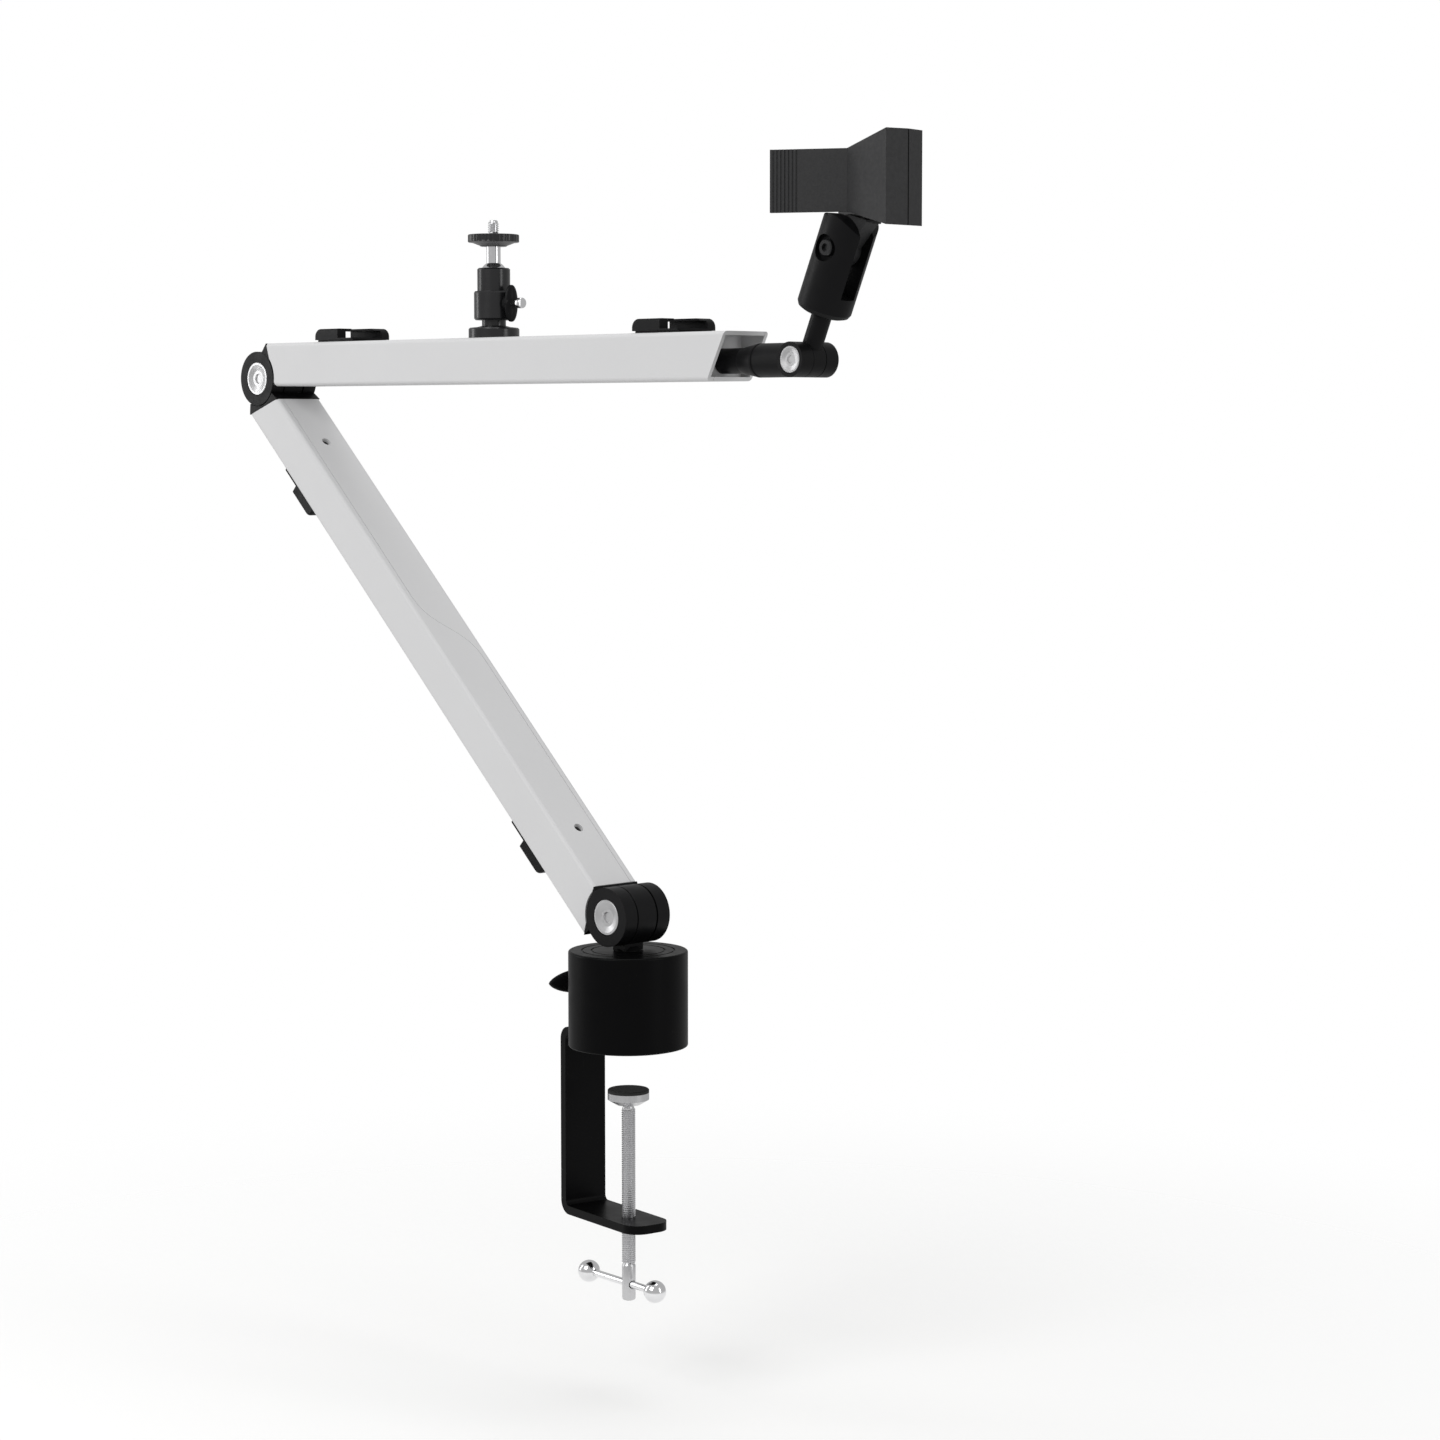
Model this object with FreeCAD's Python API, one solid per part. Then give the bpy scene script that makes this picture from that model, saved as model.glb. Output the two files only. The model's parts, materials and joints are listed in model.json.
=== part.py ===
import FreeCAD, Part
import math
import os

V = FreeCAD.Vector

# Desk-clamp boom arm with a camera ball head and a sprung tool holder.
# Millimetres. Origin on the desk surface, on the base axis. +Z is up, the arms
# lie in the XZ plane, and the upper arm points along +X.

# ---- driving dimensions ----
CLAMP_YAW = -8.0          # the clamp is turned this far from the arms, degrees
BAR_YAW = -4.5            # direction of the tommy bar, degrees

BASE_R = 34.5
BASE_TOP = 56.0
COVER_WALL = 2.5
COVER_TOP = 3.5
PAD_T = 1.5               # rubber under the base
STRAP_T = 5.0             # flat bar of the clamp
STRAP_W = 28.0
STRAP_BACK = 50.0         # outer face of the strap behind the base axis
CLAMP_NOSE = 25.0
CLAMP_DEPTH = 100.0       # desk surface to the clamp's lower arm
CORE_R = 24.0
POST_R = 7.0
NECK_R = 8.0
RUN = 0.05                # radial running clearance
LOCK_Z = 32.5
LOCK_SPAN = 24.5          # half span of the lock knob's wings

SCREW_R = 4.0
SCREW_END = -149.0
DESK_T = 25.0             # desk held by the clamp as drawn
BAR_Z = -139.5
BAR_R = 2.1
BAR_SHIFT = -6.9
BAR_HALF = 31.3
BAR_BALL_R = 6.5

SHOULDER_Z = 76.5
LOWER_LEAN = 46.8         # degrees from vertical, towards -X
LOWER_SPAN = 452.0        # pivot to pivot
UPPER_SPAN = 474.0
WRIST_RISE = 6.0          # wrist pivot above the elbow pivot

ARM_W = 34.0
ARM_H = 27.0
ARM_WALL = 2.2
ARM_EDGE_R = 2.4
PIVOT_OFFSET = 8.6        # arm section centre to pivot line, outwards
END_OUTER = 10.0          # pivot to the tube's end on the outer face
END_INNER = 24.0
LOWER_NEAR = (6.0, 19.5)  # the same two distances at the forked ends
UPPER_NEAR = (10.0, 19.0)
SHELL_CLEAR = 18.1        # the shells are hollowed out this far round a barrel
WRIST_END_OUTER = 47.0
WRIST_END_INNER = 61.0
SEAM_Y = 12.0
SEAM_HALF = 26.5          # half length of the seam's S
SEAM_GAP = 0.3
SCREW_X = 63.0            # shell screw to pivot
CLIP_X = 76.5             # cable clip to pivot
FRONT_CLIP_X = 105.5      # wrist pivot to the nearest cable clip

KNUCKLE_R = 17.0
BARREL_HALF = 17.1
TONGUE_HALF = 7.1
SLOT_HALF = 8.0
PIN_R = 5.0
HEAD_R = 10.4
HEAD_T = 2.4

WRIST_R = 9.5
WRIST_HALF = 14.0
WRIST_TONGUE = 4.8
WRIST_PIN_R = 2.5
STEM_R = 5.6
YOKE_LEAN = 24.0
YOKE_R = 15.0
YOKE_LOW = 27.5           # distances along the yoke axis from the wrist pivot
YOKE_TOP = 82.0
YOKE_SLOT = 40.0
TILT_S = 63.7
EAR_R = 18.3              # ears stay inside this radius about the tilt screw

JAW_PIN_X = 180.0
JAW_MID_Z = 485.3
HANDLE_H = 33.0
JAW_H = 49.5
HANDLE_L = 42.0
HANDLE_SPLAY = 30.0
PLATE_T = 3.0
PLATE_Y = 7.0
JAW_TIP_X = 214.5
JAW_TIP_Y = 13.75
SEAT_X = 201.0
SEAT_R = 8.5
SEAT_PAD_T = 1.5
HUB_R = 4.5
HUB_CLEAR = 4.9
JAW_PIN_R = 2.0

BALL_X = -116.5
BALL_R = 8.0
STUD_R = 3.175            # 1/4 inch camera thread
STUD_NECK_R = 2.9

ARM_TOP = PIVOT_OFFSET + ARM_H / 2
ARM_LOW = PIVOT_OFFSET - ARM_H / 2


# ---- helpers ----
def block(x0, x1, y0, y1, z0, z1):
    return Part.makeBox(x1 - x0, y1 - y0, z1 - z0, V(x0, y0, z0))


def rod(radius, start, end):
    way = end - start
    return Part.makeCylinder(radius, way.Length, start, way)


def flat_xz(points, y0, y1):
    """Closed outline in the XZ plane, extruded from y0 to y1."""
    corners = [V(x, y0, z) for x, z in points]
    face = Part.Face(Part.makePolygon(corners + corners[:1]))
    return face.extrude(V(0, y1 - y0, 0))


def flat_xy(points, z0, z1):
    corners = [V(x, y, z0) for x, y in points]
    face = Part.Face(Part.makePolygon(corners + corners[:1]))
    return face.extrude(V(0, 0, z1 - z0))


def turned(profile, base, axis):
    """Solid of revolution from (radius, height) points about an axis."""
    corners = [V(r, 0, h) for r, h in profile]
    face = Part.Face(Part.makePolygon(corners + corners[:1]))
    solid = face.revolve(V(0, 0, 0), V(0, 0, 1), 360)
    return moved(solid, FreeCAD.Placement(base, FreeCAD.Rotation(V(0, 0, 1), axis)))


def moved(shape, placement):
    result = shape.copy()
    result.Placement = placement.multiply(result.Placement)
    return result


def yawed(shape, degrees):
    return moved(shape, FreeCAD.Placement(V(0, 0, 0), FreeCAD.Rotation(V(0, 0, 1), degrees)))


def edges_where(shape, test):
    found = []
    for edge in shape.Edges:
        box = edge.BoundBox
        if test(edge, box.Center, box):
            found.append(edge)
    return found


def rounded(shape, radius, test):
    return shape.makeFillet(radius, edges_where(shape, test))


def save(name, *solids):
    shape = solids[0] if len(solids) == 1 else Part.makeCompound(list(solids))
    shape.exportStep("parts/" + name + ".step")


# ---- clamp and base ----
def clamp_bracket():
    back = -STRAP_BACK
    inner = back + STRAP_T
    top = PAD_T + STRAP_T
    low = -CLAMP_DEPTH - STRAP_T
    outline = [(back, top), (CLAMP_NOSE, top), (CLAMP_NOSE, PAD_T), (inner, PAD_T),
               (inner, -CLAMP_DEPTH), (CLAMP_NOSE, -CLAMP_DEPTH), (CLAMP_NOSE, low), (back, low)]
    body = flat_xz(outline, -STRAP_W / 2, STRAP_W / 2)
    body = rounded(body, 8.0, lambda e, c, b: abs(c.x - back) < 0.1 and b.YLength > 20)
    body = rounded(body, 3.0, lambda e, c, b: abs(c.x - inner) < 0.1 and b.YLength > 20)
    body = rounded(body, 10.0, lambda e, c, b: abs(c.x - CLAMP_NOSE) < 0.1 and b.ZLength > 4
                   and b.YLength < 0.1)
    body = body.cut(rod(SCREW_R + RUN, V(0, 0, low - 1), V(0, 0, -CLAMP_DEPTH + 1)))
    for x in (-14.0, 14.0):
        body = body.cut(turned([(0, 0), (5.2, 0), (2.6, 2.6), (2.6, 6), (0, 6)],
                               V(x, 0, PAD_T), V(0, 0, 1)))
    return yawed(body, CLAMP_YAW)


def base_bolts():
    bolts = []
    for x in (-14.0, 14.0):
        bolt = turned([(0, 0.1), (5.0, 0.1), (2.5, 2.6), (2.5, 18), (0, 18)],
                      V(x, 0, PAD_T), V(0, 0, 1))
        bolt = bolt.cut(Part.makeBox(1.2, 7, 1.0, V(x - 0.6, -3.5, PAD_T)))
        bolts.append(yawed(bolt, CLAMP_YAW))
    return bolts


def base_core():
    low = PAD_T + STRAP_T
    body = rod(CORE_R, V(0, 0, low), V(0, 0, BASE_TOP - COVER_TOP))
    body = body.cut(rod(POST_R + RUN, V(0, 0, low + 3), V(0, 0, BASE_TOP)))
    body = body.cut(rod(3.0 + RUN, V(-CORE_R - 1, 0, LOCK_Z), V(0, 0, LOCK_Z)))
    body = body.cut(rod(3.2 + RUN, V(-16.5, 0, LOCK_Z), V(0, 0, LOCK_Z)))
    for x in (-14.0, 14.0):
        body = body.cut(rod(2.5, V(x, 0, low - 1), V(x, 0, PAD_T + 18.5)))
    return yawed(body, CLAMP_YAW)


def base_cover():
    inside = BASE_R - COVER_WALL
    grooves = []
    for share in (0.61, 0.77):
        r = share * BASE_R
        grooves.append(turned([(r - 0.5, 0), (r + 0.5, 0), (r + 0.5, 1), (r - 0.5, 1)],
                              V(0, 0, BASE_TOP - 0.5), V(0, 0, 1)))
    body = rod(BASE_R, V(0, 0, 0.5), V(0, 0, BASE_TOP))
    body = rounded(body, 1.2, lambda e, c, b: abs(c.z - BASE_TOP) < 0.01)
    body = rounded(body, 0.8, lambda e, c, b: abs(c.z - 0.5) < 0.01)
    body = body.cut(rod(inside, V(0, 0, 0), V(0, 0, BASE_TOP - COVER_TOP)))
    body = body.cut(rod(NECK_R + 0.4, V(0, 0, 40), V(0, 0, 60)))
    body = body.cut(rod(4.0, V(-40, 0, LOCK_Z), V(-20, 0, LOCK_Z)))
    slot_half = STRAP_W / 2 + 0.3
    body = body.cut(block(-40, -20, -slot_half, slot_half, 0, PAD_T + STRAP_T + 0.3))
    for groove in grooves:
        body = body.cut(groove)
    return yawed(body, CLAMP_YAW)


def base_pad():
    return rod(BASE_R - COVER_WALL - 0.2, V(0, 0, 0), V(0, 0, PAD_T))


def lock_parts():
    """Brass shoe, threaded screw and wing knob on the side away from the desk."""
    shoe = rod(3.2, V(-6.2, 0, LOCK_Z), V(-14.0, 0, LOCK_Z))
    screw = rod(3.0, V(-14.05, 0, LOCK_Z), V(-46.0, 0, LOCK_Z))
    hub = turned([(0, 37.5), (5.5, 37.5), (7.5, 41), (7.5, 49), (6, 50.5), (0, 50.5)],
                 V(0, 0, LOCK_Z), V(-1, 0, 0))
    outline = Part.Ellipse(V(0, 0, 0), LOCK_SPAN, 6.8)
    wing = Part.Face(Part.Wire(outline.toShape())).extrude(V(0, 0, 6.0))
    wing = wing.makeFillet(1.2, wing.Edges)
    turn = FreeCAD.Rotation(V(0, 1, 0), V(0, 0, 1), V(-1, 0, 0), "ZXY")
    wing = moved(wing, FreeCAD.Placement(V(-43.0, 0, LOCK_Z), turn))
    knob = hub.fuse(wing).cut(rod(3.0, V(-30, 0, LOCK_Z), V(-46.1, 0, LOCK_Z)))
    return [yawed(piece, CLAMP_YAW) for piece in (shoe, screw, knob)]


def clamp_screw():
    profile = [(0, SCREW_END), (3.2, SCREW_END), (SCREW_R, SCREW_END + 1), (SCREW_R, -35.2),
               (3.2, -34.4), (3.2, -28.6), (2.2, -28.2), (0, -28.2)]
    body = turned(profile, V(0, 0, 0), V(0, 0, 1))
    way = bar_direction()
    centre = V(0, 0, BAR_Z)
    return body.cut(rod(BAR_R + RUN, centre - way * 10, centre + way * 10))


def bar_direction():
    angle = math.radians(BAR_YAW)
    return V(math.cos(angle), math.sin(angle), 0)


def tommy_bar():
    way = bar_direction()
    middle = V(0, 0, BAR_Z) + way * BAR_SHIFT
    return rod(BAR_R, middle - way * BAR_HALF, middle + way * BAR_HALF)


def tommy_balls():
    way = bar_direction()
    middle = V(0, 0, BAR_Z) + way * BAR_SHIFT
    balls = []
    for side in (-1, 1):
        ball = Part.makeSphere(BAR_BALL_R, middle + way * (side * BAR_HALF))
        balls.append(ball.cut(tommy_bar()))
    return balls


def pressure_pad():
    return turned([(3.3, -34), (7, -34), (12, -31), (12, -27), (0, -27), (0, -28), (3.3, -28)],
                  V(0, 0, 0), V(0, 0, 1))


def pad_rubber():
    return turned([(0, -27), (12, -27), (12, -DESK_T - 0.5), (11.5, -DESK_T), (0, -DESK_T)],
                  V(0, 0, 0), V(0, 0, 1))


def swivel_post():
    groove = [(POST_R, 28.2), (POST_R - 1, 28.8), (POST_R - 1, 36.2), (POST_R, 36.8)]
    profile = [(0, 9.8), (POST_R - 1, 9.8), (POST_R, 10.8)] + groove
    profile += [(POST_R, BASE_TOP - COVER_TOP + 0.2), (NECK_R, BASE_TOP - COVER_TOP + 0.2),
                (NECK_R, SHOULDER_Z - KNUCKLE_R - 3.2), (NECK_R - 2.4, SHOULDER_Z - KNUCKLE_R - 0.8),
                (0, SHOULDER_Z - KNUCKLE_R - 0.8)]
    post = turned(profile, V(0, 0, 0), V(0, 0, 1))
    pivot = V(0, 0, SHOULDER_Z)
    web = block(3 - NECK_R, NECK_R - 3, -TONGUE_HALF, TONGUE_HALF, BASE_TOP + 0.3, SHOULDER_Z)
    body = post.fuse(web).fuse(knuckle(pivot, KNUCKLE_R, TONGUE_HALF)).removeSplitter()
    return body.cut(bore(pivot, PIN_R + 2.0))


# ---- hinge barrels ----
def knuckle(pivot, radius, half):
    body = rod(radius, pivot - V(0, half, 0), pivot + V(0, half, 0))
    return body.makeFillet(0.5, body.Edges) if half < 10 else body


def bore(pivot, radius):
    return rod(radius, pivot - V(0, 60, 0), pivot + V(0, 60, 0))


def bush(pivot, half):
    sleeve = rod(PIN_R + 1.98, pivot - V(0, half, 0), pivot + V(0, half, 0))
    return sleeve.cut(bore(pivot, PIN_R + RUN))


def hinge_washers(pivot):
    washers = []
    for side in (-1, 1):
        near = V(0, side * (TONGUE_HALF + 0.06), 0)
        far = V(0, side * (SLOT_HALF - 0.02), 0)
        ring = rod(13.0, pivot + near, pivot + far).cut(bore(pivot, PIN_R + RUN))
        washers.append(ring)
    return washers


def dished_head(radius, thick, face):
    """(radius, height) points of a dished round head whose outer face is at height face."""
    low = face - thick
    return [(0, low), (radius, low), (radius, face - 0.4), (radius - 0.4, face),
            (radius * 0.84, face), (radius * 0.50, face - thick * 0.42),
            (radius * 0.30, face - thick * 0.42), (radius * 0.26, face - thick * 0.75),
            (0, face - thick * 0.75)]


def hinge_pin(pivot):
    head = turned(dished_head(HEAD_R, HEAD_T, BARREL_HALF - 0.1), pivot, V(0, -1, 0))
    reach = BARREL_HALF - 0.1 - HEAD_T
    shaft = rod(PIN_R, pivot - V(0, reach, 0), pivot + V(0, reach, 0))
    return head.fuse(shaft)


def hinge_nut(pivot):
    return turned(dished_head(HEAD_R, HEAD_T, BARREL_HALF - 0.1), pivot, V(0, 1, 0))


# ---- arm shells, in an arm's own frame: pivot at 0, tube along +X, outer face up ----
def arm_tube(near, outer_end, inner_end):
    outline = [(near[0], ARM_TOP), (outer_end, ARM_TOP), (inner_end, ARM_LOW), (near[1], ARM_LOW)]
    body = flat_xz(outline, -ARM_W / 2, ARM_W / 2)
    body = rounded(body, ARM_EDGE_R, lambda e, c, b: b.XLength > 300)
    half = ARM_W / 2 - ARM_WALL
    hollow = block(-50, outer_end + 50, -half, half, ARM_LOW + ARM_WALL, ARM_TOP - ARM_WALL)
    return body.cut(hollow).cut(bore(V(0, 0, 0), SHELL_CLEAR))


def seam_region(middle, shift, side):
    """Plan of the inner face on one side of its S-shaped seam, as a tall prism."""
    near = middle - SEAM_HALF
    far = middle + SEAM_HALF
    y0 = SEAM_Y + shift
    y1 = -SEAM_Y + shift
    curve = Part.BezierCurve()
    curve.setPoles([V(near, y0, 0), V(middle, y0, 0), V(middle, y1, 0), V(far, y1, 0)])
    edge_y = side * 40.0
    corners = [V(far, y1, 0), V(700, y1, 0), V(700, edge_y, 0), V(-60, edge_y, 0),
               V(-60, y0, 0), V(near, y0, 0)]
    straight = [Part.LineSegment(a, b).toShape() for a, b in zip(corners, corners[1:])]
    wire = Part.Wire([curve.toShape()] + straight)
    prism = Part.Face(wire).extrude(V(0, 0, PIVOT_OFFSET + 40))
    prism.translate(V(0, 0, -40))
    return prism


def screw_boss(x):
    solid = rod(5.0, V(x, 0, ARM_LOW + 0.5), V(x, 0, ARM_LOW + 6))
    hollow = rod(2.9, V(x, 0, ARM_LOW - 1), V(x, 0, ARM_LOW + 4.4))
    return solid, hollow.fuse(rod(1.7, V(x, 0, ARM_LOW), V(x, 0, ARM_LOW + 7)))


def arm_shells(span, near, outer_end, inner_end, far_screw):
    tube = arm_tube(near, outer_end, inner_end)
    middle = span / 2
    corner = ARM_W / 2 - ARM_WALL - 0.2
    upper_front = block(-60, 700, -40, corner, PIVOT_OFFSET, ARM_TOP + 5)
    upper_rear = block(-60, 700, corner + SEAM_GAP, 40, PIVOT_OFFSET, ARM_TOP + 5)
    front = tube.common(upper_front.fuse(seam_region(middle, -SEAM_GAP / 2, -1)))
    rear = tube.common(upper_rear.fuse(seam_region(middle, SEAM_GAP / 2, 1)))
    boss, hole = screw_boss(SCREW_X)
    front = front.fuse(boss).cut(hole)
    boss, hole = screw_boss(far_screw)
    rear = rear.fuse(boss).cut(hole)
    return front, rear


def shell_screws(*places):
    screws = []
    for x in places:
        profile = [(0, 2.4), (2.7, 2.4), (2.7, 4.4), (1.5, 4.4), (1.5, 14), (0, 14)]
        screw = turned(profile, V(x, 0, ARM_LOW), V(0, 0, 1))
        screws.append(screw.cut(rod(1.2, V(x, 0, ARM_LOW + 2), V(x, 0, ARM_LOW + 3.8))))
    return screws


def insert(x0, x1, screw_x):
    """The part of an end block that fills the tube, with a pocket for the screw boss."""
    half = ARM_W / 2 - ARM_WALL - 0.1
    body = block(x0, x1, -half, half, ARM_LOW + ARM_WALL + 0.1, ARM_TOP - ARM_WALL - 0.1)
    body = body.cut(rod(5.2, V(screw_x, 0, ARM_LOW), V(screw_x, 0, ARM_LOW + 6.1)))
    return body.cut(rod(1.5, V(screw_x, 0, ARM_LOW), V(screw_x, 0, ARM_LOW + 14.5)))


def end_block(forked, near):
    """Hinge block for a pivot at the origin with its tube along +X."""
    low_z = -3.5
    low_x = math.sqrt(KNUCKLE_R ** 2 - low_z ** 2)
    gap = 0.3
    top_x = 5.0
    outline = [(top_x, math.sqrt(KNUCKLE_R ** 2 - top_x ** 2)), (near[0] - gap, ARM_TOP - 0.1),
               (near[1] - gap, ARM_LOW + 0.1), (low_x, low_z)]
    half = ARM_W / 2 - 0.1
    origin = V(0, 0, 0)
    roof = ARM_TOP - ARM_WALL - 0.1
    floor = ARM_LOW + ARM_WALL + 0.1
    root = [(near[0] + 2.0, roof), (END_INNER, roof), (END_INNER, floor), (near[1] - 1.6, floor)]
    body = flat_xz(outline, -half, half)
    body = body.fuse(flat_xz(root, ARM_WALL - half, half - ARM_WALL))
    body = body.fuse(insert(END_INNER - 0.4, SCREW_X + 20, SCREW_X))
    if forked:
        body = body.fuse(knuckle(origin, KNUCKLE_R, BARREL_HALF))
        body = body.cut(rod(KNUCKLE_R + 1.5, V(0, -SLOT_HALF, 0), V(0, SLOT_HALF, 0)))
        for side in (-1, 1):
            recess = rod(HEAD_R + 0.1, V(0, side * (BARREL_HALF - HEAD_T - 0.1), 0),
                         V(0, side * 30, 0))
            body = body.cut(recess)
        hole = PIN_R + 0.02
    else:
        body = body.fuse(knuckle(origin, KNUCKLE_R, TONGUE_HALF))
        for side in (-1, 1):
            clear = rod(KNUCKLE_R + 0.6, V(0, side * TONGUE_HALF, 0), V(0, side * 30, 0))
            body = body.cut(clear)
        hole = PIN_R + 2.0
    return body.removeSplitter().cut(bore(origin, hole))


def cable_clip():
    """Snap-in cable clip on an outer face: a channel under two opposed hooks."""
    body = block(-19.5, 19.5, -14.5, 14.5, 0, 8.0)
    body = rounded(body, 5.0, lambda e, c, b: abs(c.z - 8) < 0.1 and b.YLength > 20)
    body = rounded(body, 1.5, lambda e, c, b: b.XLength > 20 and abs(c.z - 8) < 0.1)
    body = body.cut(block(-30, 30, -8.0, 8.0, 2.2, 6.7))
    body = body.cut(block(-30, 30, -3.5, 3.5, 6.0, 9.0))
    for side in (-1, 1):
        hook_end = 12.0 if side > 0 else 4.0
        open_x = sorted((side * -hook_end, side * -30.0))
        open_y = sorted((side * 3.4, side * 20.0))
        body = body.cut(block(*open_x, *open_y, 2.2, 9.0))
        under_y = sorted((side * 13.0, side * 20.0))
        body = body.cut(block(-30, 30, *under_y, -1, 1.2))
        under_x = sorted((side * 17.5, side * 30.0))
        body = body.cut(block(*under_x, -20, 20, -1, 1.2))
    return body


# ---- the two arms ----
def lower_direction():
    lean = math.radians(LOWER_LEAN)
    return V(-math.sin(lean), 0, math.cos(lean))


def elbow_point():
    return V(0, 0, SHOULDER_Z) + lower_direction() * LOWER_SPAN


def wrist_point():
    return elbow_point() + V(UPPER_SPAN, 0, WRIST_RISE)


def mirrored(shape, span):
    """Same piece at the far end of an arm."""
    result = shape.mirror(V(0, 0, 0), V(1, 0, 0))
    result.translate(V(span, 0, 0))
    return result


def lower_arm():
    way = lower_direction()
    turn = FreeCAD.Rotation(V(1, 0, 0), way)
    frame = FreeCAD.Placement(V(0, 0, SHOULDER_Z), turn)
    far_screw = LOWER_SPAN - SCREW_X
    front, rear = arm_shells(LOWER_SPAN, LOWER_NEAR, LOWER_SPAN - END_OUTER,
                             LOWER_SPAN - END_INNER, far_screw)
    save("lower_front_shell", moved(front, frame))
    save("lower_rear_shell", moved(rear, frame))
    save("shoulder_fork", moved(end_block(True, LOWER_NEAR), frame))
    tongue = end_block(False, (END_OUTER, END_INNER))
    save("elbow_tongue", moved(mirrored(tongue, LOWER_SPAN), frame))
    screws = shell_screws(SCREW_X, far_screw)
    save("lower_arm_screws", *[moved(screw, frame) for screw in screws])
    for name, x in (("lower_cable_clip", CLIP_X), ("middle_cable_clip", LOWER_SPAN - CLIP_X)):
        clip = cable_clip()
        clip.translate(V(x, 0, ARM_TOP))
        save(name, moved(clip, frame))
    shoulder = V(0, 0, SHOULDER_Z)
    save("shoulder_pin", hinge_pin(shoulder))
    save("shoulder_nut", hinge_nut(shoulder))
    save("shoulder_washers", *hinge_washers(shoulder))
    save("elbow_bush", bush(elbow_point(), TONGUE_HALF - 0.05))


def wrist_socket():
    """Block fixed in the open end of the upper arm; the wrist turns in its bore."""
    front = UPPER_SPAN - WRIST_END_INNER - 5.0
    back = UPPER_SPAN - 128.0
    body = insert(back, front, UPPER_SPAN - 115.0)
    axis_z = WRIST_RISE
    body = body.cut(rod(5.0 + RUN, V(back, 0, axis_z), V(front + 1, 0, axis_z)))
    return body.cut(rod(8.0, V(back - 1, 0, axis_z), V(UPPER_SPAN - 94.4, 0, axis_z)))


def upper_arm():
    elbow = elbow_point()
    frame = FreeCAD.Placement(elbow, FreeCAD.Rotation())
    far_screw = UPPER_SPAN - 115.0
    front, rear = arm_shells(UPPER_SPAN, UPPER_NEAR, UPPER_SPAN - WRIST_END_OUTER,
                             UPPER_SPAN - WRIST_END_INNER, far_screw)
    mount_x = BALL_X - elbow.x
    front = front.cut(rod(3.0, V(mount_x, 0, ARM_TOP - 5), V(mount_x, 0, ARM_TOP + 1)))
    save("upper_front_shell", moved(front, frame))
    save("upper_rear_shell", moved(rear, frame))
    save("elbow_fork", moved(end_block(True, UPPER_NEAR), frame))
    save("wrist_socket", moved(wrist_socket(), frame))
    screws = shell_screws(SCREW_X, far_screw)
    save("upper_arm_screws", *[moved(screw, frame) for screw in screws])
    for name, x in (("upper_cable_clip", CLIP_X), ("front_cable_clip", UPPER_SPAN - FRONT_CLIP_X)):
        clip = cable_clip()
        clip.translate(V(x, 0, ARM_TOP))
        save(name, moved(clip, frame))
    save("elbow_pin", hinge_pin(elbow))
    save("elbow_nut", hinge_nut(elbow))
    save("elbow_washers", *hinge_washers(elbow))


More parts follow.
